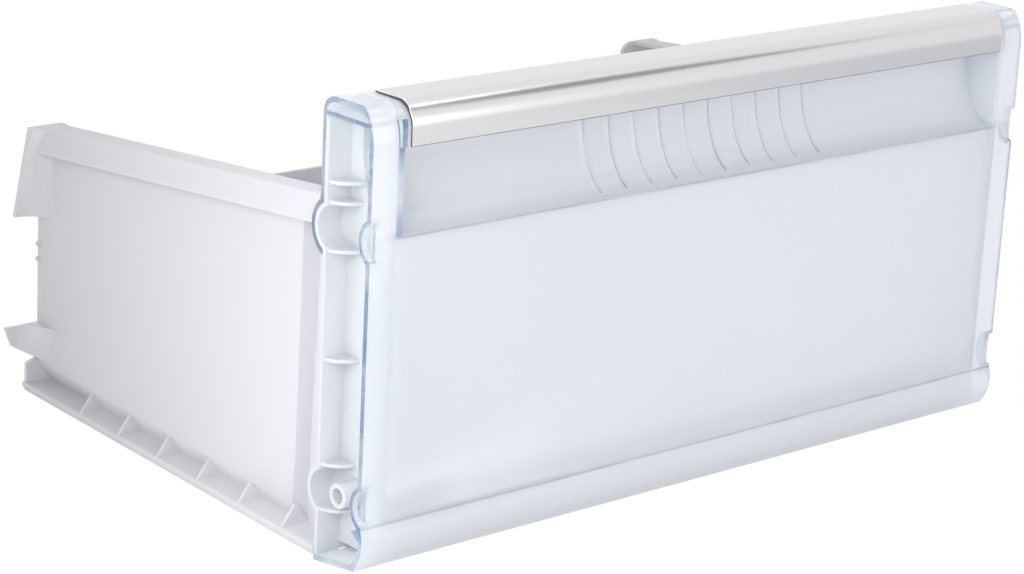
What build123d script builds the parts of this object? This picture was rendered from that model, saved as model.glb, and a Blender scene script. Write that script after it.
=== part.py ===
"""Freezer drawer: an open tub, a front frame, a clear front panel and a handle trim.

Millimetres. +X to the right, +Y to the rear, +Z up. The origin is under the middle of the
drawer, at the level it stands on. The front pieces share a plane that leans back a little.
"""

import os
from math import acos, cos, degrees, radians, sin, sqrt, tan

from build123d import *

# Overall sizes
front_width = 440.0
drawer_depth = 290.0
front_height = 227.0
front_lean = 1.8

# Wall thicknesses
tub_wall = 2.2
floor_wall = 2.5
frame_wall = 2.2
panel_wall = 2.8
rear_lip_wall = 2.2
trim_wall = 1.2

# Tub: the wall leans in a little towards its foot, flares to a ridge and draws in below it
wall_top_inset = 6.0
wall_foot_draw = 1.6
wall_foot_height = 39.0
ridge_flare = 0.7
ridge_height = 17.2
foot_draw = 8.7
floor_underside = 5.0
rim_front_height = 175.5
rim_fall = 29.0
rear_wall_drop = 46.8
rear_opening_inset = 19.5
rear_opening_foot = 18.0
rear_opening_shoulder = 7.0
neck_length = 61.0
shoulder_length = 1.5
sleeve_length = 3.0
sleeve_floor = 10.6

# Rim of the tub, measured outwards and downwards from the top of the wall
rim_inset = 11.5
rim_top_reach = 1.0
rim_crease_drop = 5.0
rim_crease_reach = 3.0
rim_skirt_drop = 13.0
rim_skirt_reach = 5.6
rim_wall = 2.2

# Runner lips, their gussets, and the ears, horns and heels at the rear corners
runner_reach = 7.7
runner_height = 7.0
runner_wall = 2.2
runner_foot_reach = 2.4
runner_belly = 1.3
gusset_count = 6
gusset_thickness = 1.8
gusset_first = 60.4
gusset_pitch = 34.8
gusset_inset = 0.4
rear_plate_wall = 2.5
ear_top_reach = 6.6
ear_bottom_reach = 14.5
horn_reach = 19.0
horn_height = 39.2
horn_tip_reach = 15.0
horn_tip_height = 28.8
notch_reach = 0.2
notch_rise = 2.6
heel_reach = 6.5
heel_rise = 0.4
heel_round = 6.0
nub_height = 74.3
nub_pitch = 8.3
nub_radius = 1.4
corner_sweep = 19.0
corner_sweep_belly = 4.5
corner_sweep_turn = 8.0

# Front frame
assembly_depth = 34.7
flange_width = 13.5
frame_top_drop = 11.0
lower_rib_heights = (27.0, 49.5, 101.0)
upper_rib_drops = (73.5, 50.5, 41.0)
channel_rib_wall = 1.8
channel_rib_length = 11.0
lower_pocket_height = 37.2
upper_pocket_drop = 62.3
pocket_radius = 12.8
pocket_bulge = 6.5
boss_radius = 6.2
boss_bore_radius = 3.7
boss_reach = 11.5
boss_bore_depth = 11.5
boss_height = 36.9
boss_setback = 20.5
rail_setback = 5.6
rail_bottom = 14.0
rail_top = 40.0

# Clear front panel
chin_height = 22.4
chin_ledge_height = 27.3
chin_proud = 1.2
chin_belly_setback = 0.6
bottom_front_height = 5.0
bottom_front_setback = 4.4
recess_bottom_drop = 61.5
recess_top_drop = 23.0
recess_depth = 22.0
cap_width = 18.0
ceiling_drop = 7.0
cap_turn_drop = 20.0
top_front_setback = 9.2
top_rear_setback = 28.0
rear_lip_drop = 75.0
ledge_wedge_length = 4.0
dent_wall = 2.2
dent_reach = 5.8
dent_radius = 11.9
dent_width = 2.8
grip_rib_count = 10
grip_rib_pitch = 16.7
grip_rib_width = 0.7
grip_rib_height = 0.6
clip_pad_offset = 100.0
clip_pad_length = 28.0
clip_pad_height = 8.0
clip_pad_wall = 0.8
clip_pad_middle = 14.4
clip_pad_slant = 14.0

# Handle trim
trim_clearance = 0.3
trim_proud = 2.9
trim_bottom_drop = 19.5
trim_rear_setback = 25.2
trim_top_setback = 6.4
trim_turn_drop = 11.0
trim_end_inset = 1.5

# Clearances between pieces
piece_gap = 0.2

os.makedirs("parts", exist_ok=True)

# The face of the front panel stands at face_y at floor level and leans back from there.
lean_sine = sin(radians(front_lean))
lean_cosine = cos(radians(front_lean))
lean_slope = tan(radians(front_lean))
chin_front = chin_proud * lean_cosine - chin_height * lean_sine
face_y = -drawer_depth / 2 + chin_front
rear_y = drawer_depth / 2
half_front = front_width / 2
bottom_rear_height = assembly_depth * lean_slope

# Half widths of the tub, from the front's half width inwards and outwards
wall_top_half_width = half_front - wall_top_inset
wall_foot_half_width = wall_top_half_width - wall_foot_draw
ridge_half_width = wall_foot_half_width + ridge_flare
foot_half_width = ridge_half_width - foot_draw
rim_inner_half_width = wall_top_half_width - rim_inset
rim_top_half_width = wall_top_half_width + rim_top_reach
rim_crease_half_width = wall_top_half_width + rim_crease_reach
rim_skirt_half_width = wall_top_half_width + rim_skirt_reach
runner_half_width = ridge_half_width + runner_reach
runner_foot_half_width = ridge_half_width + runner_foot_reach
ear_top_half_width = wall_top_half_width + ear_top_reach
ear_bottom_half_width = wall_top_half_width + ear_bottom_reach
horn_half_width = wall_top_half_width + horn_reach
horn_tip_half_width = wall_top_half_width + horn_tip_reach
notch_half_width = ridge_half_width + notch_reach
heel_half_width = ridge_half_width + heel_reach
rim_rear_height = rim_front_height - rim_fall
rear_wall_height = rim_rear_height - rear_wall_drop
opening_half_width = wall_top_half_width - rear_opening_inset
notch_height = ridge_height + notch_rise
heel_height = ridge_height + heel_rise

# Half widths and heights of the front pieces, from the front's own size
web_half_width = half_front - flange_width
recess_half_width = half_front - cap_width
frame_top = front_height - frame_top_drop
pocket_heights = (lower_pocket_height, front_height - upper_pocket_drop)
channel_rib_heights = lower_rib_heights + tuple(front_height - drop for drop in upper_rib_drops)
recess_height = front_height - recess_bottom_drop
recess_top = front_height - recess_top_drop
ceiling_height = front_height - ceiling_drop
cap_turn_height = front_height - cap_turn_drop
rear_lip_bottom = front_height - rear_lip_drop
trim_bottom = front_height - trim_bottom_drop
trim_turn_height = front_height - trim_turn_drop

flange_front = assembly_depth - frame_wall
web_inner = web_half_width - frame_wall
neck_start = face_y + assembly_depth
shoulder_start = face_y + neck_length
shoulder_end = shoulder_start + shoulder_length
bulge_back = assembly_depth + pocket_bulge + piece_gap + rear_lip_wall
rim_start = face_y + bulge_back + rim_front_height * lean_slope + piece_gap
rim_run = rear_y - rim_start
rim_slope = (rim_rear_height - rim_front_height) / rim_run
tall = 2 * front_height


def side_plane(x):
    """Sketch plane across the drawer at x: local x runs back, local y up along the face."""
    return Plane(
        origin=(x, face_y, 0),
        x_dir=(0, lean_cosine, -lean_sine),
        z_dir=(1, 0, 0),
    )


def plan_outline(inset, front):
    """Outline of the tub seen from above, inset by a wall: a neck, a shoulder and the body."""
    neck = web_inner - inset
    body = rim_top_half_width
    back = rear_y - inset
    right_side = [
        (neck, front),
        (neck, shoulder_start + inset),
        (body, shoulder_end + inset),
        (body, back),
    ]
    left_side = [(-x, y) for x, y in reversed(right_side)]
    return right_side + left_side


def section_outline(inset, bottom):
    """Cross-section of the tub seen from the front, drawn in below the ridge."""
    right_side = [
        (foot_half_width - inset, bottom),
        (ridge_half_width - inset, ridge_height),
        (wall_foot_half_width - inset, wall_foot_height),
        (wall_top_half_width - inset, rim_front_height),
        (wall_top_half_width - inset, tall),
    ]
    left_side = [(-x, z) for x, z in reversed(right_side)]
    return right_side + left_side


def rim_height_at(y):
    """Height of the tub's rim at y."""
    return rim_front_height + rim_slope * (y - rim_start)


def side_outline(front, low_front, low_back, step_at, top_rise):
    """Side view of the tub's wall as (y, z) points, from its front edge to its rear."""
    back = rear_y + tub_wall
    return [
        (front, low_front),
        (step_at, low_front),
        (step_at, low_back),
        (back, low_back),
        (back, rim_height_at(back) + top_rise),
        (front, rim_height_at(front) + top_rise),
    ]


sleeve_front = neck_start - sleeve_length
floor_step = neck_start + 2 * piece_gap

# Tub, outside: plan, cross-section and side view together give the envelope
with BuildPart() as envelope:
    with BuildSketch(Plane.XY):
        with BuildLine():
            Polyline(*plan_outline(0, sleeve_front), close=True)
        make_face()
    extrude(amount=tall)
    with BuildSketch(Plane.XZ.offset(-rear_y)):
        with BuildLine():
            Polyline(*section_outline(0, floor_underside), close=True)
        make_face()
    extrude(amount=drawer_depth, mode=Mode.INTERSECT)
    with BuildSketch(Plane.YZ.offset(-half_front)):
        with BuildLine():
            Polyline(
                *side_outline(sleeve_front - 1, sleeve_floor, floor_underside, floor_step, 0),
                close=True,
            )
        make_face()
    extrude(amount=front_width, mode=Mode.INTERSECT)

# Tub, inside: the same three views, one wall smaller
with BuildPart() as hollow:
    with BuildSketch(Plane.XY):
        with BuildLine():
            Polyline(*plan_outline(tub_wall, sleeve_front - 2), close=True)
        make_face()
    extrude(amount=tall)
    with BuildSketch(Plane.XZ.offset(-rear_y)):
        with BuildLine():
            Polyline(*section_outline(tub_wall, floor_underside + floor_wall), close=True)
        make_face()
    extrude(amount=drawer_depth + 2, mode=Mode.INTERSECT)
    with BuildSketch(Plane.YZ.offset(-half_front)):
        with BuildLine():
            Polyline(
                *side_outline(
                    sleeve_front - 2,
                    sleeve_floor + tub_wall,
                    floor_underside + floor_wall,
                    floor_step + tub_wall,
                    tall,
                ),
                close=True,
            )
        make_face()
    extrude(amount=front_width, mode=Mode.INTERSECT)

# Ear and horn of the right rear corner, which run into the wall in a sweep
sweep_in = wall_foot_half_width - tub_wall / 2
with BuildPart() as corner_sweeps:
    with BuildSketch(Plane.XY.offset(notch_height)):
        with BuildLine():
            sweep_arc = ThreePointArc(
                (horn_half_width, rear_y - rear_plate_wall),
                (wall_foot_half_width + corner_sweep_belly, rear_y - corner_sweep_turn),
                (wall_foot_half_width, rear_y - corner_sweep),
            )
            Polyline(
                sweep_arc @ 1,
                (sweep_in, rear_y - corner_sweep),
                (sweep_in, rear_y),
                (horn_half_width, rear_y),
                sweep_arc @ 0,
            )
        make_face()
    extrude(amount=rim_rear_height - notch_height)
    with BuildSketch(Plane.XZ.offset(-rear_y)):
        with BuildLine():
            Polyline(
                (sweep_in, horn_height),
                (horn_half_width, horn_height),
                (horn_tip_half_width, horn_tip_height),
                (notch_half_width, notch_height),
                (sweep_in, notch_height),
                close=True,
            )
        make_face()
        with BuildLine():
            Polyline(
                (sweep_in, rear_wall_height),
                (ear_bottom_half_width, rear_wall_height),
                (ear_top_half_width, rim_rear_height),
                (sweep_in, rim_rear_height),
                close=True,
            )
        make_face()
    extrude(amount=corner_sweep, mode=Mode.INTERSECT)

with BuildPart() as tub:
    add(envelope.part)
    add(hollow.part, mode=Mode.SUBTRACT)
    # The rear wall is lower than the sides and rises to them in a curve
    with BuildSketch(Plane.XZ.offset(-rear_y)):
        with BuildLine():
            foot_curve = RadiusArc(
                (opening_half_width - rear_opening_foot, rear_wall_height),
                (opening_half_width, rear_wall_height + rear_opening_foot),
                -rear_opening_foot,
            )
            shoulder_curve = RadiusArc(
                (opening_half_width, rim_rear_height - rear_opening_shoulder),
                (opening_half_width + rear_opening_shoulder, rim_rear_height),
                rear_opening_shoulder,
            )
            Line(foot_curve @ 1, shoulder_curve @ 0)
            Polyline(
                shoulder_curve @ 1,
                (opening_half_width + rear_opening_shoulder, tall),
                (0, tall),
                (0, rear_wall_height),
                foot_curve @ 0,
            )
        make_face()
        mirror(about=Plane.YZ)
    extrude(amount=2 * tub_wall, mode=Mode.SUBTRACT)
    # Foot of the rear wall, down to the level of the runner lips
    with BuildSketch(Plane.XZ.offset(-rear_y)):
        with BuildLine():
            foot_half = Polyline(
                (0, 0),
                (heel_half_width - heel_round, 0),
                (heel_half_width, heel_round),
                (heel_half_width, heel_height),
                (notch_half_width, notch_height),
                (horn_tip_half_width, horn_tip_height),
                (horn_half_width, horn_height),
                (wall_foot_half_width - tub_wall / 2, horn_height),
                (ridge_half_width - tub_wall / 2, ridge_height),
                (foot_half_width - tub_wall / 2, floor_underside + floor_wall),
                (0, floor_underside + floor_wall),
                close=True,
            )
        make_face()
        mirror(about=Plane.YZ)
    extrude(amount=rear_plate_wall)
    for side in (-1, 1):
        # Rolled rim: a flat top and a skirt that splays outwards
        with BuildSketch(Plane.XZ.offset(-rim_start)):
            with BuildLine():
                Polyline(
                    (side * rim_inner_half_width, rim_front_height),
                    (side * rim_top_half_width, rim_front_height),
                    (side * rim_crease_half_width, rim_front_height - rim_crease_drop),
                    (side * rim_skirt_half_width, rim_front_height - rim_skirt_drop),
                    (side * (rim_skirt_half_width - rim_wall), rim_front_height - rim_skirt_drop),
                    (side * (rim_crease_half_width - rim_wall), rim_front_height - rim_crease_drop),
                    (side * (rim_top_half_width - rim_wall), rim_front_height - rim_wall),
                    (side * rim_inner_half_width, rim_front_height - rim_wall),
                    close=True,
                )
            make_face()
        extrude(amount=rim_run * sqrt(1 + rim_slope**2), dir=(0, 1, rim_slope))
        # Runner along the foot of the wall: a ledge with a skirt that curves in below it
        with BuildSketch(Plane.XZ.offset(-rear_y)):
            with BuildLine():
                skirt_out = ThreePointArc(
                    (side * runner_half_width, runner_height),
                    (side * (runner_half_width - runner_belly), runner_height * 0.35),
                    (side * runner_foot_half_width, 0),
                )
                skirt_in = ThreePointArc(
                    (side * (runner_foot_half_width - runner_wall), 0),
                    (side * (runner_half_width - runner_belly - runner_wall), runner_height * 0.4),
                    (side * (runner_half_width - runner_wall), runner_height - runner_wall),
                )
                Line(skirt_out @ 1, skirt_in @ 0)
                Polyline(
                    skirt_in @ 1,
                    (side * (foot_half_width - runner_wall), runner_height - runner_wall),
                    (side * (foot_half_width - runner_wall), runner_height),
                    skirt_out @ 0,
                )
            make_face()
        extrude(amount=rear_y - floor_step)
        # Gussets between the lip and the ridge above it
        for number in range(gusset_count):
            gusset_y = face_y + gusset_first + number * gusset_pitch
            with BuildSketch(Plane.XZ.offset(-gusset_y - gusset_thickness / 2)):
                with BuildLine():
                    Polyline(
                        (side * (foot_half_width - tub_wall / 2), runner_height - runner_wall / 2),
                        (side * (runner_half_width - gusset_inset), runner_height - runner_wall / 2),
                        (side * (runner_half_width - gusset_inset), runner_height),
                        (side * ridge_half_width, ridge_height),
                        (side * (ridge_half_width - tub_wall / 2), ridge_height),
                        close=True,
                    )
                make_face()
            extrude(amount=gusset_thickness)
        # Ear: the rear plate flares outwards beside the top of the side wall
        with BuildSketch(Plane.XZ.offset(-rear_y)):
            with BuildLine():
                Polyline(
                    (side * (wall_foot_half_width - tub_wall / 2), rear_wall_height),
                    (side * ear_bottom_half_width, rear_wall_height),
                    (side * ear_top_half_width, rim_rear_height),
                    (side * (wall_foot_half_width - tub_wall / 2), rim_rear_height),
                    close=True,
                )
            make_face()
        extrude(amount=rear_plate_wall)
        # Two small nubs on the rear edge of the side wall
        for number in range(2):
            nub_z = nub_height + number * nub_pitch
            with BuildSketch(Plane.XZ.offset(-rear_y)):
                with Locations((side * (wall_foot_half_width + nub_radius / 2), nub_z)):
                    Circle(nub_radius)
            extrude(amount=rear_plate_wall)
    add(corner_sweeps.part)
    add(corner_sweeps.part.mirror(Plane.YZ))

tub.part.label = "tub"
export_step(tub.part, "parts/tub.step")

# Front frame: two uprights with outward flanges, joined along the bottom by a rail
bottom_rise = bottom_front_height - bottom_rear_height
bottom_slope = bottom_rise / (assembly_depth - bottom_front_setback)
frame_bottom = bottom_rear_height + panel_wall + frame_wall * bottom_slope + piece_gap
shelf_top = sleeve_floor - piece_gap
shelf_bottom = shelf_top - frame_wall
shelf_front = rail_setback + panel_wall
pocket_setback = assembly_depth + pocket_bulge - pocket_radius
web_front = panel_wall + piece_gap
recess_wall_depth = recess_depth + panel_wall
recess_rise = recess_top - recess_height
recess_wall_rise = recess_rise + panel_wall
ledge_bottom = ceiling_height - panel_wall

with BuildPart() as front_frame:
    for side in (-1, 1):
        # Web of the upright, with a round cheek at each pocket
        web_x = web_inner if side > 0 else -web_half_width
        with BuildSketch(side_plane(web_x)):
            with BuildLine():
                Polyline(
                    (flange_front, shelf_bottom),
                    (shelf_front, shelf_bottom),
                    (rail_setback, rail_bottom),
                    (web_front, chin_ledge_height),
                    (web_front, frame_top),
                    (flange_front, frame_top),
                    close=True,
                )
            make_face()
            # The web keeps clear of the finger recess in front of it
            with Locations((0, recess_top)):
                Ellipse(
                    recess_wall_depth + piece_gap,
                    recess_wall_rise + piece_gap,
                    mode=Mode.SUBTRACT,
                )
            with Locations((0, recess_top + front_height / 2)):
                Rectangle(2 * (recess_wall_depth + piece_gap), front_height, mode=Mode.SUBTRACT)
            with Locations((0, ledge_bottom - piece_gap + front_height / 2)):
                Rectangle(2 * top_rear_setback + 1, front_height, mode=Mode.SUBTRACT)
            for height in pocket_heights:
                with Locations((pocket_setback, height)):
                    Circle(pocket_radius - frame_wall / 2)
        extrude(amount=frame_wall)
        # Flange that turns outwards, with a half-round pocket at two places
        flange_x = web_inner if side > 0 else -half_front
        with BuildSketch(side_plane(flange_x)):
            with Locations((flange_front + frame_wall / 2, (frame_bottom + frame_top) / 2)):
                Rectangle(frame_wall, frame_top - frame_bottom)
            for height in pocket_heights:
                with Locations((pocket_setback, height)):
                    Circle(pocket_radius)
                    Circle(pocket_radius - frame_wall, mode=Mode.SUBTRACT)
            with Locations((flange_front - front_height, 0)):
                Rectangle(2 * front_height, 4 * front_height, mode=Mode.SUBTRACT)
        extrude(amount=half_front - web_inner)
        # Small shelves in the corner between web and flange
        for height in channel_rib_heights:
            corner = side_plane(side * (web_half_width - frame_wall / 2)).from_local_coords(
                (flange_front + frame_wall / 2, height, 0)
            )
            rib_plane = Plane(origin=corner, x_dir=(1, 0, 0), z_dir=(0, lean_sine, lean_cosine))
            with BuildSketch(rib_plane):
                Ellipse(half_front - web_half_width, channel_rib_length + frame_wall / 2)
                with Locations((side * half_front, -half_front)):
                    Rectangle(front_width, front_width, mode=Mode.INTERSECT)
            extrude(amount=channel_rib_wall / 2, both=True)
        # The shelves keep clear of the side wall of the finger recess
        with BuildSketch(side_plane(side * web_inner)):
            with Locations((0, recess_top)):
                Ellipse(recess_wall_depth + piece_gap, recess_wall_rise + piece_gap)
        extrude(
            amount=side * (recess_half_width + panel_wall + piece_gap - web_inner),
            mode=Mode.SUBTRACT,
        )
        # Round boss in the lower pocket, with a blind bore
        with BuildSketch(side_plane(side * (web_half_width - frame_wall / 2))):
            with Locations((boss_setback, boss_height)):
                Circle(boss_radius)
        extrude(amount=side * (boss_reach + frame_wall / 2))
        with BuildSketch(side_plane(side * (web_half_width + boss_reach))):
            with Locations((boss_setback, boss_height)):
                Circle(boss_bore_radius)
        extrude(amount=-side * boss_bore_depth, mode=Mode.SUBTRACT)
    # Rail along the bottom: a shelf under the tub's sleeve and an upstand behind the face
    with BuildSketch(side_plane(-web_half_width)):
        with BuildLine():
            Polyline(
                (flange_front, shelf_bottom),
                (shelf_front, shelf_bottom),
                (rail_setback, rail_bottom),
                (rail_setback, rail_top),
                (rail_setback + frame_wall, rail_top),
                (rail_setback + frame_wall, rail_bottom),
                (shelf_front + frame_wall, shelf_top),
                (flange_front, shelf_top),
                close=True,
            )
        make_face()
        with Locations((flange_front + frame_wall / 2, (frame_bottom + shelf_top) / 2)):
            Rectangle(frame_wall, shelf_top - frame_bottom)
    extrude(amount=2 * web_half_width)

front_frame.part.label = "front_frame"
export_step(front_frame.part, "parts/front_frame.step")

# Clear front panel
chin_inner_setback = panel_wall + 0.3
panel_top = front_height - piece_gap
skin_top = panel_top - panel_wall
lip_front = trim_wall + trim_clearance - trim_proud
lip_back = lip_front + panel_wall
lip_bottom = trim_bottom + piece_gap
rear_lip_front = assembly_depth + piece_gap
rear_lip_back = rear_lip_front + rear_lip_wall
rear_turn_height = frame_top + 2
ledge_top = ceiling_height - panel_wall / 4
ledge_back = rear_lip_front + rear_lip_wall / 2
recess_angle = degrees(acos(panel_wall / recess_wall_depth))


def chin_lines():
    """Lines of the chin, bottom wall and their inner side, from face foot to face foot."""
    outer = ThreePointArc(
        (-chin_proud, chin_height),
        (chin_belly_setback, chin_height / 2),
        (bottom_front_setback, bottom_front_height),
    )
    Line((0, chin_ledge_height), outer @ 0)
    bottom = Polyline(
        outer @ 1,
        (assembly_depth, bottom_rear_height),
        (assembly_depth, bottom_rear_height + panel_wall),
        (bottom_front_setback + 2.2, bottom_front_height + panel_wall),
    )
    inner = ThreePointArc(
        bottom @ 1,
        (chin_inner_setback, chin_height / 2 + 1.5),
        (panel_wall - chin_proud, chin_height),
    )
    Line(inner @ 1, (panel_wall, chin_ledge_height))


def top_lines(turn_x, turn_y):
    """Lines of the rounded top, from the front turn over the top down to the rear lip."""
    front = EllipticalCenterArc(
        (top_front_setback, turn_y),
        top_front_setback - turn_x,
        panel_top - turn_y,
        start_angle=90,
        arc_size=90,
    )
    Line((top_front_setback, panel_top), (top_rear_setback, panel_top))
    rear = EllipticalCenterArc(
        (top_rear_setback, rear_turn_height),
        rear_lip_back - top_rear_setback,
        panel_top - rear_turn_height,
        start_angle=0,
        arc_size=90,
    )
    inner_rear = EllipticalCenterArc(
        (top_rear_setback, rear_turn_height),
        rear_lip_front - top_rear_setback,
        skin_top - rear_turn_height,
        start_angle=0,
        arc_size=90,
    )
    Line((top_rear_setback, skin_top), (top_front_setback, skin_top))
    return front, rear, inner_rear


with BuildPart() as front_panel:
    # Middle length: face, finger recess, grip lip and double top
    with BuildSketch(side_plane(-recess_half_width - panel_wall)):
        with BuildLine():
            chin_lines()
            Line((0, chin_ledge_height), (0, recess_height))
            EllipticalCenterArc(
                (0, recess_top),
                recess_depth,
                recess_rise,
                start_angle=-90,
                arc_size=90,
            )
            recess_back = EllipticalCenterArc(
                (0, recess_top),
                recess_wall_depth,
                recess_wall_rise,
                start_angle=-recess_angle,
                arc_size=recess_angle,
            )
            Line((panel_wall, chin_ledge_height), recess_back @ 0)
            Polyline(
                recess_back @ 1,
                (recess_wall_depth, ledge_bottom),
                (top_rear_setback, ledge_bottom),
                (top_rear_setback, ledge_top),
                (lip_back + panel_wall, ledge_top),
                (lip_back + panel_wall, skin_top - panel_wall / 2),
                (top_front_setback, skin_top),
            )
            Polyline(
                (recess_depth, recess_top),
                (recess_depth, ledge_bottom),
                (lip_back, ledge_bottom),
                (lip_back, lip_bottom),
                (lip_front, lip_bottom),
                (lip_front, trim_turn_height),
            )
            top_lines(lip_front, trim_turn_height)
            Polyline(
                (rear_lip_back, rear_turn_height),
                (rear_lip_back, recess_top),
                (rear_lip_front, recess_top),
                (rear_lip_front, rear_turn_height),
            )
        make_face()
        with Locations(((panel_wall + ledge_back + recess_depth) / 2, (ledge_bottom + ledge_top) / 2)):
            Rectangle(ledge_back - recess_depth - panel_wall, ledge_top - ledge_bottom)
    extrude(amount=2 * (recess_half_width + panel_wall))
    for side in (-1, 1):
        # End cap: the face runs straight up past the recess, with a top and a ledge behind it
        cap_x = recess_half_width if side > 0 else -half_front
        with BuildSketch(side_plane(cap_x)):
            with BuildLine():
                chin_lines()
                Line((0, chin_ledge_height), (0, cap_turn_height))
                Polyline(
                    (panel_wall, chin_ledge_height),
                    (panel_wall, cap_turn_height),
                    (lip_back + panel_wall, skin_top - panel_wall),
                    (top_front_setback, skin_top),
                )
                top_lines(0, cap_turn_height)
                Polyline(
                    (rear_lip_back, rear_turn_height),
                    (rear_lip_back, rear_lip_bottom),
                    (rear_lip_front, rear_lip_bottom),
                    (rear_lip_front, rear_turn_height),
                )
            make_face()
            with Locations(((panel_wall + ledge_back) / 2, (ledge_bottom + ledge_top) / 2)):
                Rectangle(ledge_back - panel_wall / 2, ledge_top - ledge_bottom)
        extrude(amount=half_front - recess_half_width)
        # Rear tab: it bulges around the upper pocket of the frame
        tab_x = web_half_width + piece_gap if side > 0 else -half_front
        with BuildSketch(side_plane(tab_x)):
            with Locations((pocket_setback, pocket_heights[1])):
                Circle(pocket_radius + piece_gap + rear_lip_wall)
            with Locations((rear_lip_front - front_height, 0)):
                Rectangle(2 * front_height, 4 * front_height, mode=Mode.SUBTRACT)
        extrude(amount=half_front - web_half_width - piece_gap)
        with BuildSketch(side_plane(side * web_inner)):
            with Locations((pocket_setback, pocket_heights[1])):
                Circle(pocket_radius + piece_gap)
        extrude(amount=side * front_width, mode=Mode.SUBTRACT)
        with BuildSketch(side_plane(side * (web_half_width + piece_gap))):
            with Locations(((rear_lip_back + rear_lip_front) / 2, recess_top / 2)):
                Rectangle(4 * rear_lip_wall, recess_top)
        extrude(amount=-side * 2 * panel_wall, mode=Mode.SUBTRACT)
        # Side wall of the finger recess
        wall_x = recess_half_width if side > 0 else -recess_half_width - panel_wall
        with BuildSketch(side_plane(wall_x)):
            with Locations((0, recess_top)):
                Ellipse(recess_depth + panel_wall / 2, recess_rise + panel_wall / 2)
                Rectangle(front_width, front_width, align=(Align.MIN, Align.MAX), mode=Mode.INTERSECT)
            with Locations((lip_back / 2, ledge_top)):
                Rectangle(
                    recess_depth + panel_wall / 2,
                    ledge_top - recess_top,
                    align=(Align.MIN, Align.MAX),
                )
        extrude(amount=panel_wall)
        # Dents in the ends of the face, beside the pockets: the wall bulges round each one
        for height in pocket_heights:
            dent_centre = panel_wall + dent_reach - dent_radius
            with BuildSketch(side_plane(side * half_front)):
                with Locations((dent_centre, height)):
                    Circle(dent_radius)
                with Locations((panel_wall / 2 - front_height, 0)):
                    Rectangle(2 * front_height, 4 * front_height, mode=Mode.SUBTRACT)
            extrude(amount=-side * (dent_width + dent_wall))
            with BuildSketch(side_plane(side * half_front)):
                with Locations((dent_centre, height)):
                    Circle(dent_radius - dent_wall)
            extrude(amount=-side * dent_width, mode=Mode.SUBTRACT)
        # Small wedge behind the chin's ledge at each end
        wedge_x = side * half_front if side < 0 else half_front - ledge_wedge_length
        with BuildSketch(side_plane(wedge_x)):
            with BuildLine():
                Polyline(
                    (panel_wall / 2, chin_ledge_height),
                    (2.5 * panel_wall, chin_ledge_height - panel_wall),
                    (panel_wall / 2, chin_ledge_height - 2.5 * panel_wall),
                    close=True,
                )
            make_face()
        extrude(amount=ledge_wedge_length)
        # Clip pad inside the chin
        with BuildSketch(side_plane(side * clip_pad_offset - clip_pad_length / 2)):
            with Locations((chin_inner_setback, clip_pad_middle)):
                Rectangle(2 * clip_pad_wall, clip_pad_height, rotation=clip_pad_slant)
        extrude(amount=clip_pad_length)
    # Grip ribs down the back of the recess
    for number in range(grip_rib_count):
        rib_x = (number - (grip_rib_count - 1) / 2) * grip_rib_pitch
        with BuildSketch(side_plane(rib_x - grip_rib_width / 2)):
            with Locations((0, recess_top)):
                Ellipse(recess_depth + panel_wall / 2, recess_rise + panel_wall / 2)
                Ellipse(
                    recess_depth - grip_rib_height,
                    recess_rise - grip_rib_height,
                    mode=Mode.SUBTRACT,
                )
            with Locations((recess_depth / 4, recess_top)):
                Rectangle(
                    recess_depth,
                    front_width,
                    align=(Align.MIN, Align.MAX),
                    mode=Mode.INTERSECT,
                )
        extrude(amount=grip_rib_width)

front_panel.part.label = "front_panel"
export_step(front_panel.part, "parts/front_panel.step")

# Handle trim: a bright strip that wraps the grip lip and the top
trim_face = lip_front - trim_clearance
trim_skin = panel_top + trim_clearance
trim_half_length = recess_half_width - trim_end_inset
with BuildPart() as handle_trim:
    with BuildSketch(side_plane(-trim_half_length)):
        with BuildLine():
            outer_turn = EllipticalCenterArc(
                (trim_top_setback, trim_turn_height),
                trim_top_setback - trim_face + trim_wall,
                trim_skin + trim_wall - trim_turn_height,
                start_angle=90,
                arc_size=90,
            )
            inner_turn = EllipticalCenterArc(
                (top_front_setback, trim_turn_height),
                top_front_setback - trim_face,
                trim_skin - trim_turn_height,
                start_angle=90,
                arc_size=90,
            )
            Polyline(
                outer_turn @ 0,
                (trim_rear_setback, trim_skin + trim_wall),
                (trim_rear_setback, trim_skin),
                inner_turn @ 0,
            )
            Polyline(
                outer_turn @ 1,
                (trim_face - trim_wall, trim_bottom),
                (trim_face, trim_bottom),
                inner_turn @ 1,
            )
        make_face()
    extrude(amount=2 * trim_half_length)

handle_trim.part.label = "handle_trim"
export_step(handle_trim.part, "parts/handle_trim.step")
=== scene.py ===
import math

import bmesh
import bpy
from mathutils import Matrix, Vector


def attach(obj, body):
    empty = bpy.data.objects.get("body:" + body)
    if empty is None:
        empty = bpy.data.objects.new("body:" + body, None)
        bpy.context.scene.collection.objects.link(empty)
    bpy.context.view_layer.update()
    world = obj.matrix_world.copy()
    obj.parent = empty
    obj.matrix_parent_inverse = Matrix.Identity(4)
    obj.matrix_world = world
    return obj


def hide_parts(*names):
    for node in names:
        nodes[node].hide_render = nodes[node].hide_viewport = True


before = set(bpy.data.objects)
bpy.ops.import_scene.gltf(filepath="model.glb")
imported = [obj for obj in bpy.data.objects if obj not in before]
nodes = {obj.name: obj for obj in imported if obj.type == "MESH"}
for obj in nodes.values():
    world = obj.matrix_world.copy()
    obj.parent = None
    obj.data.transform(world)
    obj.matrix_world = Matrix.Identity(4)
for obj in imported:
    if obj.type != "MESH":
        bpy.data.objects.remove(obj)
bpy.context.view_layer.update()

# Camera at the photograph's view
CAM_LOCATION = (-1.042981, -1.156752, 0.584143)
CAM_RIGHT = (0.752656, -0.654534, 0.071367)
CAM_UP = (0.157927, 0.284696, 0.94552)
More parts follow.
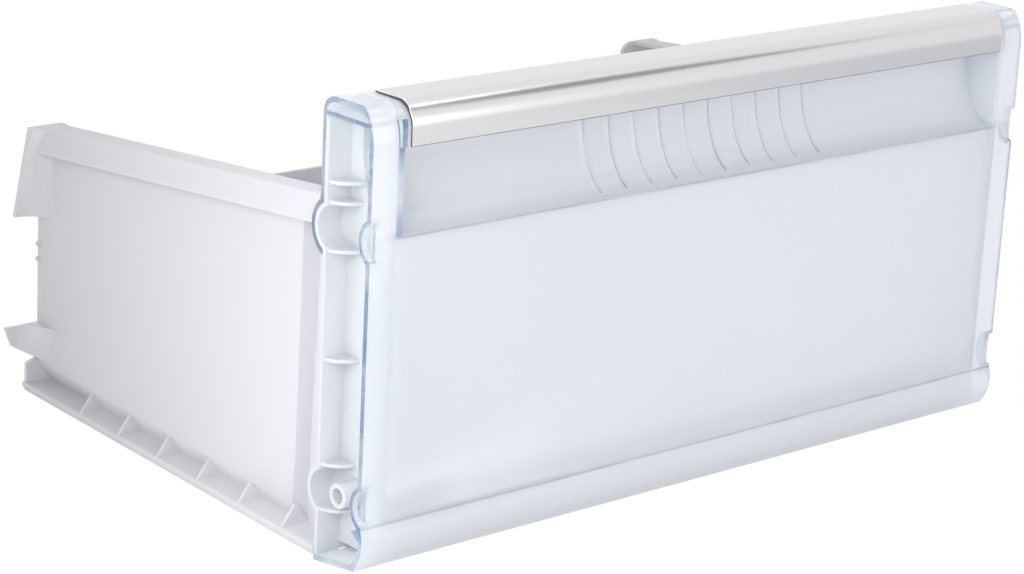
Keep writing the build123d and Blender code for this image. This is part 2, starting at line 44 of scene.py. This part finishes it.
CAM_BACK = (-0.639193, -0.700381, 0.317647)
CAM_LENS = 107.6856
CAM_SENSOR = 36.0
CAM_SHIFT = (-0.028358, 0.008481)

# Places on the clear panel, as distances from its middle plane, in metres
RIB_ZONE = 0.078
WALL_START = 0.2018
END_WALL_START = 0.2008
CAP_START = 0.2055
END_START = 0.2193

# Heights on the clear panel, in metres
LEDGE_LINE = 0.0269
CHANNEL_TOP = 0.03
RECESS_LINE = 0.1651
RECESS_BOTTOM = 0.1655
RECESS_HAZE_TOP = 0.1695
WALL_MIDDLE = 0.1865

# Half width of a tinted line, and the distances from WALL_MIDDLE where the streak of painted shade beside the
# recess, on the left side only, grows dark
LINE_HALF_WIDTH = 0.0005
STREAK_START = 0.004
STREAK_END = 0.018

# Places along Y between which the tint of the panel's cut edges fades
TINT_FRONT = -0.135
TINT_REAR = -0.118

# Painted shade: the tub's wall is painted a little greyer towards the rear, between these places along Y
TUB_FRONT = -0.08
TUB_REAR = 0.145

# A face counts as flat on to an axis above this part of its normal
FACING = 0.9

# Haze of the panel: on the face, in the recess and the chin, on level faces of the caps, and its glow from behind
FACE_HAZE = 0.42
DEEP_HAZE = 0.60
LEVEL_HAZE = 0.6
HAZE_GLOW = 0.3

# Tint of the panel's cut edges, recess ends and lines, and the painted shade of the streak beside the recess, as
# the low and high end of a noise
EDGE_TINT = (0.25, 0.85)
REAR_EDGE_FADE = 0.5
END_WALL_TINT = 0.10
STREAK_SHADE = (0.3, 0.95)
STREAK_BREAKS = (0.6, 1.0)
LINE_TINT = (0.2, 0.5)
EDGE_GLOW = 0.5

# Light through the tub and the frame
TUB_GLOW = 0.42
FRAME_GLOW = 0.3

# Softening of each piece's edges, in metres
TUB_EDGE = 0.0005
FRAME_EDGE = 0.0004
PANEL_EDGE = 0.0002
TRIM_EDGE = 0.0005

# Mesh cleaning and shading: distance in metres, angles in degrees
MERGE_DISTANCE = 1e-6
FLAT_ANGLE = 0.05
SHARP_ANGLE = 30
BEVEL_ANGLE = 40
BEVEL_SEGMENTS = 2

# Colours, linear
TUB_COLOUR = (0.84, 0.84, 0.865)
# The tub's rear colour is painted shade: the wall is painted greyer towards the rear.
TUB_REAR_SHADE_COLOUR = (0.65, 0.65, 0.675)
FRAME_COLOUR = (0.78, 0.80, 0.835)
CLEAR_COLOUR = (0.985, 0.992, 1.0)
CAP_COLOUR = (0.94, 0.955, 0.975)
ABSORPTION_COLOUR = (0.45, 0.70, 0.90)
ABSORPTION_DENSITY = 9.0
HAZE_COLOUR = (0.905, 0.915, 0.94)
EDGE_COLOUR = (0.17, 0.30, 0.47)
RIB_COLOUR = (0.26, 0.31, 0.37)
TRIM_COLOUR = (0.69, 0.685, 0.705)
# Painted shade on the strip's ends and on its faces turned down, standing in for the shadow in the gap under it.
TRIM_SHADE_COLOUR = (0.10, 0.11, 0.13)
FLOOR_COLOUR = (0.93, 0.93, 0.93)
WHITE = (1.0, 1.0, 1.0)
PLASTIC_IOR = 1.5

# The floor lies just under the drawer
FLOOR_SIZE = 16.0
FLOOR_HEIGHT = -0.0005

# Strength of the white surroundings as a light
SKY_LIGHT = 0.69

# Lamps: name, place, target, width and height in metres, watts
LAMPS = (
    ("key", (-0.80, -0.45, 0.50), (-0.2, -0.05, 0.1), (0.4, 0.4), 3.5),
    ("foot_fill", (-0.95, -0.30, 0.05), (-0.22, 0.0, 0.02), (0.6, 0.08), 0.75),
    ("front", (0.4, -1.9, 0.42), (0, 0, 0.1), (1.2, 0.7), 7.0),
    ("rear", (0.1, 1.6, 0.7), (0, 0.1, 0.1), (1.0, 1.0), 4.5),
    ("top", (-0.1, 0.3, 1.7), (0, 0, 0.1), (1.0, 1.0), 8.0),
    ("edge", (0.40, -0.46, 0.98), (-0.2, -0.14, 0.22), (0.25, 0.25), 0.6),
)

# Cards that only reflections see: name, place, target, size in metres, grey value. The dark one draws the grey line
# along the strip's round edge, and the light one shades the strip's right half.
CARDS = (
    ("dark_card", (0.52, -0.50, 0.84), (0.1, -0.14, 0.22), 0.32, 0.12),
    ("light_card", (1.20, -0.80, 0.02), (1.20, -0.80, 1.0), 1.2, 0.70),
)

scene = bpy.context.scene
scene.view_settings.view_transform = "Standard"


class Tree:
    """A material's or world's node tree, with short ways to add and join nodes."""

    def __init__(self, owner):
        owner.use_nodes = True
        self.tree = owner.node_tree
        self.tree.nodes.clear()

    def add(self, kind, **inputs):
        node = self.tree.nodes.new("ShaderNode" + kind)
        for name, value in inputs.items():
            self.put(node.inputs[name.replace("_", " ")], value)
        return node

    def put(self, socket, value):
        if isinstance(value, bpy.types.NodeSocket):
            self.tree.links.new(value, socket)
        elif socket.type == "RGBA":
            socket.default_value = (*value, 1.0)
        else:
            socket.default_value = value

    def math(self, operation, a, b=0.0, clamp=False):
        node = self.tree.nodes.new("ShaderNodeMath")
        node.operation = operation
        node.use_clamp = clamp
        self.put(node.inputs[0], a)
        self.put(node.inputs[1], b)
        return node.outputs[0]

    def mix(self, factor, first, second):
        node = self.tree.nodes.new("ShaderNodeMixShader")
        self.put(node.inputs[0], factor)
        self.put(node.inputs[1], first)
        self.put(node.inputs[2], second)
        return node.outputs[0]

    def both(self, a, b):
        return self.math("MULTIPLY", a, b)

    def above(self, value, limit):
        return self.math("GREATER_THAN", value, limit)

    def below(self, value, limit):
        return self.math("LESS_THAN", value, limit)

    def distance(self, a, b):
        return self.math("ABSOLUTE", self.math("SUBTRACT", a, b))

    def highest(self, first, *others):
        for other in others:
            first = self.math("MAXIMUM", first, other)
        return first

    def inside(self, value, low, high):
        return self.both(self.above(value, low), self.below(value, high))

    def ramp(self, value, low, high, start=0.0, end=1.0):
        node = self.add("MapRange", Value=value)
        self.put(node.inputs["From Min"], start)
        self.put(node.inputs["From Max"], end)
        self.put(node.inputs["To Min"], low)
        self.put(node.inputs["To Max"], high)
        return node.outputs["Result"]

    def contrast(self, noise, low, high, start=0.35, end=0.65):
        return self.ramp(noise, low, high, start, end)

    def noise(self, scale, detail=2.0, vector=None):
        if vector is None:
            vector = self.add("TexCoord").outputs["Object"]
        return self.add("TexNoise", Vector=vector, Scale=scale, Detail=detail).outputs["Fac"]

    def bump(self, height, strength, distance):
        return self.add("Bump", Height=height, Strength=strength, Distance=distance).outputs["Normal"]

    def shade(self, factor, dark, light):
        node = self.tree.nodes.new("ShaderNodeMix")
        node.data_type = "RGBA"
        self.put(node.inputs["Factor"], factor)
        self.put(node.inputs[6], dark)
        self.put(node.inputs[7], light)
        return node.outputs[2]


def new_material(name):
    material = bpy.data.materials.new(name)
    return material, Tree(material)


def scaled(colour, factor):
    return tuple(channel * factor for channel in colour)


def clear_plastic():
    """Clear plastic with a faint haze and a blue tint where light runs along it."""
    material, t = new_material("clear_panel")
    coords = t.add("TexCoord")
    place = t.add("SeparateXYZ", Vector=coords.outputs["Object"])
    normal = t.add("SeparateXYZ", Vector=coords.outputs["Normal"])
    height = place.outputs["Z"]
    from_middle = t.math("ABSOLUTE", place.outputs["X"])
    facing_end = t.above(t.math("ABSOLUTE", normal.outputs["X"]), FACING)
    facing_y = t.math("ABSOLUTE", normal.outputs["Y"])
    facing_front = t.below(normal.outputs["Y"], -FACING)
    level = t.math("ABSOLUTE", normal.outputs["Z"])
    in_ribs = t.below(from_middle, RIB_ZONE)
    before_cap = t.below(from_middle, CAP_START)
    in_cap = t.above(from_middle, CAP_START)

    # Places that carry a tint, and a streak of painted shade
    cut_edge = t.both(facing_end, t.highest(in_ribs, t.above(from_middle, END_START)))
    end_wall = t.both(facing_end, t.inside(from_middle, END_WALL_START, CAP_START))
    # Painted shade: a dark streak on the face in front of the recess's end, on the left side only.
    shaded_streak = t.both(t.inside(from_middle, WALL_START, CAP_START), t.above(height, RECESS_BOTTOM))
    shaded_streak = t.both(t.both(shaded_streak, facing_front), t.below(place.outputs["X"], 0.0))
    on_ledge = t.below(t.distance(height, LEDGE_LINE), LINE_HALF_WIDTH)
    on_recess = t.both(t.below(t.distance(height, RECESS_LINE), LINE_HALF_WIDTH), before_cap)
    line = t.both(t.highest(on_ledge, on_recess), facing_front)

    # The middle is a thin sheet that bends no light, and the caps at the ends are glass
    waviness = t.bump(t.noise(9.0), 0.03, 0.002)
    polish = t.ramp(t.noise(40.0), 0.05, 0.09)
    sheen = t.add("BsdfAnisotropic", Color=WHITE, Roughness=polish, Normal=waviness)
    through = t.add("BsdfTransparent", Color=CLEAR_COLOUR)
    fresnel = t.add("Fresnel", IOR=PLASTIC_IOR)
    sheet = t.mix(fresnel.outputs[0], through.outputs[0], sheen.outputs[0])
    glass = t.add("BsdfGlass", Color=CAP_COLOUR, Roughness=0.02, IOR=PLASTIC_IOR, Normal=waviness)
    shadow_ray = t.add("LightPath").outputs["Is Shadow Ray"]
    refracting = t.mix(shadow_ray, glass.outputs[0], through.outputs[0])
    clear = t.mix(in_cap, sheet, refracting)

    haze_colour = t.shade(t.noise(5.0, 3.0), scaled(HAZE_COLOUR, 0.97), scaled(HAZE_COLOUR, 1.02))
    haze_front = t.add("BsdfDiffuse", Color=haze_colour)
    haze_back = t.add("BsdfTranslucent", Color=haze_colour)
    haze = t.mix(HAZE_GLOW, haze_front.outputs[0], haze_back.outputs[0])
    in_channel = t.below(height, CHANNEL_TOP)
    hazy = t.highest(facing_y, before_cap, in_channel, t.both(level, LEVEL_HAZE))
    depth = t.ramp(height, FACE_HAZE, DEEP_HAZE, RECESS_BOTTOM, RECESS_HAZE_TOP)
    depth = t.highest(depth, t.both(t.below(height, LEDGE_LINE), DEEP_HAZE))
    hazed = t.mix(t.both(hazy, depth), clear, haze)

    edge_colour = t.shade(t.highest(in_ribs, line), EDGE_COLOUR, RIB_COLOUR)
    edge_front = t.add("BsdfDiffuse", Color=edge_colour)
    edge_back = t.add("BsdfTranslucent", Color=edge_colour)
    edge = t.mix(EDGE_GLOW, edge_front.outputs[0], edge_back.outputs[0])
    cut_tint = t.both(cut_edge, t.contrast(t.noise(60.0), *EDGE_TINT))
    cut_tint = t.both(cut_tint, t.ramp(place.outputs["Y"], 1.0, REAR_EDGE_FADE, TINT_FRONT, TINT_REAR))
    streak_place = t.distance(height, WALL_MIDDLE)
    streak_shade = t.both(shaded_streak, t.ramp(streak_place, *STREAK_SHADE, STREAK_START, STREAK_END))
    streak_shade = t.both(streak_shade, t.contrast(t.noise(90.0, 3.0), *STREAK_BREAKS, 0.40, 0.60))
    line_tint = t.both(line, t.contrast(t.noise(35.0), *LINE_TINT))
    tint_and_shade = t.highest(cut_tint, streak_shade, t.both(end_wall, END_WALL_TINT), line_tint)
    surface = t.mix(tint_and_shade, hazed, edge)

    volume = t.add("VolumeAbsorption", Color=ABSORPTION_COLOUR, Density=ABSORPTION_DENSITY)
    t.add("OutputMaterial", Surface=surface, Volume=volume.outputs[0])
    return material


def milky_plastic(name, colour, rear_shade_colour, transmit):
    """Milky moulded plastic: soft shading, a little light through it, a fine moulded grain, a random cloudy tone,
    and a painted shade towards the rear where the rear colour is darker.
    """
    material, t = new_material(name)
    place = t.add("SeparateXYZ", Vector=t.add("TexCoord").outputs["Object"])
    # Painted shade: the colour darkens towards the rear, with a random cloudy tone on top.
    rear_shade = t.ramp(place.outputs["Y"], 0.0, 1.0, TUB_FRONT, TUB_REAR)
    cloudy = t.ramp(t.noise(6.0, 3.0), -0.08, 0.08)
    tint = t.shade(t.math("ADD", rear_shade, cloudy), colour, rear_shade_colour)
    grain = t.bump(t.noise(900.0), 0.04, 0.0002)
    body = t.add("BsdfPrincipled", Base_Color=tint, IOR=PLASTIC_IOR, Normal=grain)
    t.put(body.inputs["Roughness"], t.ramp(t.noise(30.0), 0.28, 0.36))
    glow = t.add("BsdfTranslucent", Color=tint)
    surface = t.mix(transmit, body.outputs[0], glow.outputs[0])
    t.add("OutputMaterial", Surface=surface)
    return material


def satin_trim():
    """Satin silver strip with a very fine line along its length."""
    material, t = new_material("satin_strip")
    coords = t.add("TexCoord")
    stretched = t.add("Mapping", Vector=coords.outputs["Object"])
    stretched.inputs["Scale"].default_value = (2.0, 900.0, 900.0)
    lines = t.noise(1.0, 3.0, stretched.outputs[0])
    normal = t.add("SeparateXYZ", Vector=coords.outputs["Normal"])
    # Painted shade: the ends and the faces turned down are painted dark, as the shadow in the gap under the strip.
    end = t.above(t.math("ABSOLUTE", normal.outputs["X"]), 0.7)
    cut_edge = t.math("MAXIMUM", end, t.below(normal.outputs["Z"], -0.3))
    metal = t.add("BsdfPrincipled", Metallic=0.85)
    t.put(metal.inputs["Base Color"], t.shade(cut_edge, TRIM_COLOUR, TRIM_SHADE_COLOUR))
    t.put(metal.inputs["Roughness"], t.ramp(lines, 0.18, 0.26))
    t.put(metal.inputs["Normal"], t.bump(lines, 0.03, 0.0001))
    t.add("OutputMaterial", Surface=metal.outputs[0])
    return material


def softened_copy(node, width):
    """A copy of a CAD node's mesh with softened edges."""
    mesh = nodes[node].data.copy()
    mesh.materials.clear()
    bm = bmesh.new()
    bm.from_mesh(mesh)
    bmesh.ops.remove_doubles(bm, verts=bm.verts, dist=MERGE_DISTANCE)
    flat = math.radians(FLAT_ANGLE)
    bmesh.ops.dissolve_limit(bm, angle_limit=flat, verts=bm.verts, edges=bm.edges)
    bm.to_mesh(mesh)
    bm.free()
    mesh.shade_smooth()
    mesh.set_sharp_from_angle(angle=math.radians(SHARP_ANGLE))
    piece = bpy.data.objects.new(node + "_shell", mesh)
    scene.collection.objects.link(piece)
    bevel = piece.modifiers.new("soft_edges", "BEVEL")
    bevel.width = width
    bevel.segments = BEVEL_SEGMENTS
    bevel.limit_method = "ANGLE"
    bevel.angle_limit = math.radians(BEVEL_ANGLE)
    bevel.use_clamp_overlap = True
    return piece


def dress(node, width, material):
    """Put a softened copy in the place of a CAD node."""
    piece = softened_copy(node, width)
    piece.data.materials.append(material)
    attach(piece, "root")
    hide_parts(node)


def background_rays(t):
    """1 for the rays that see the background: camera, glossy and transmission rays."""
    path = t.add("LightPath")
    seen = t.math("ADD", path.outputs["Is Camera Ray"], path.outputs["Is Glossy Ray"], clamp=True)
    return t.math("ADD", seen, path.outputs["Is Transmission Ray"], clamp=True)


def flat_sheet(name, size):
    """A level square object of a given size."""
    mesh = bpy.data.meshes.new(name)
    bm = bmesh.new()
    bmesh.ops.create_grid(bm, x_segments=2, y_segments=2, size=size / 2)
    bm.to_mesh(mesh)
    bm.free()
    sheet = bpy.data.objects.new(name, mesh)
    scene.collection.objects.link(sheet)
    return sheet


def make_floor():
    floor = flat_sheet("floor", FLOOR_SIZE)
    floor.location.z = FLOOR_HEIGHT
    material, t = new_material("floor")
    matt = t.add("BsdfDiffuse", Color=FLOOR_COLOUR)
    white = t.add("Emission", Color=WHITE, Strength=1.0)
    t.add("OutputMaterial", Surface=t.mix(background_rays(t), matt.outputs[0], white.outputs[0]))
    floor.data.materials.append(material)


def make_world():
    world = bpy.data.worlds.new("studio")
    scene.world = world
    t = Tree(world)
    strength = t.ramp(background_rays(t), SKY_LIGHT, 1.0)
    sky = t.add("Background", Color=WHITE, Strength=strength)
    t.add("OutputWorld", Surface=sky.outputs[0])


def area_light(name, location, target, size, power):
    data = bpy.data.lights.new(name, "AREA")
    data.shape = "RECTANGLE"
    data.size, data.size_y = size
    data.energy = power
    light = bpy.data.objects.new(name, data)
    scene.collection.objects.link(light)
    light.location = location
    direction = Vector(target) - Vector(location)
    light.rotation_euler = direction.to_track_quat("-Z", "Y").to_euler()


def make_card(name, location, target, size, grey):
    """Card that only reflections see."""
    card = flat_sheet(name, size)
    card.location = location
    towards = Vector(target) - Vector(location)
    card.rotation_euler = towards.to_track_quat("Z", "Y").to_euler()
    card.visible_camera = False
    card.visible_diffuse = False
    card.visible_transmission = False
    card.visible_shadow = False
    material, t = new_material(name)
    paint = t.add("Emission", Color=(grey, grey, grey * 1.03), Strength=1.0)
    t.add("OutputMaterial", Surface=paint.outputs[0])
    card.data.materials.append(material)


def make_camera():
    data = bpy.data.cameras.new("camera")
    camera = bpy.data.objects.new("camera", data)
    scene.collection.objects.link(camera)
    turn = Matrix((CAM_RIGHT, CAM_UP, CAM_BACK)).transposed().to_4x4()
    camera.matrix_world = Matrix.Translation(Vector(CAM_LOCATION)) @ turn
    data.sensor_width = CAM_SENSOR
    data.lens = CAM_LENS
    data.shift_x, data.shift_y = CAM_SHIFT
    data.clip_start = 0.05
    data.clip_end = 50.0
    scene.camera = camera


tub_plastic = milky_plastic("milky_tub", TUB_COLOUR, TUB_REAR_SHADE_COLOUR, TUB_GLOW)
frame_plastic = milky_plastic("bluish_frame", FRAME_COLOUR, FRAME_COLOUR, FRAME_GLOW)
dress("tub", TUB_EDGE, tub_plastic)
dress("front_frame", FRAME_EDGE, frame_plastic)
dress("front_panel", PANEL_EDGE, clear_plastic())
dress("handle_trim", TRIM_EDGE, satin_trim())

make_floor()
make_world()
for lamp in LAMPS:
    area_light(*lamp)
for card in CARDS:
    make_card(*card)
make_camera()
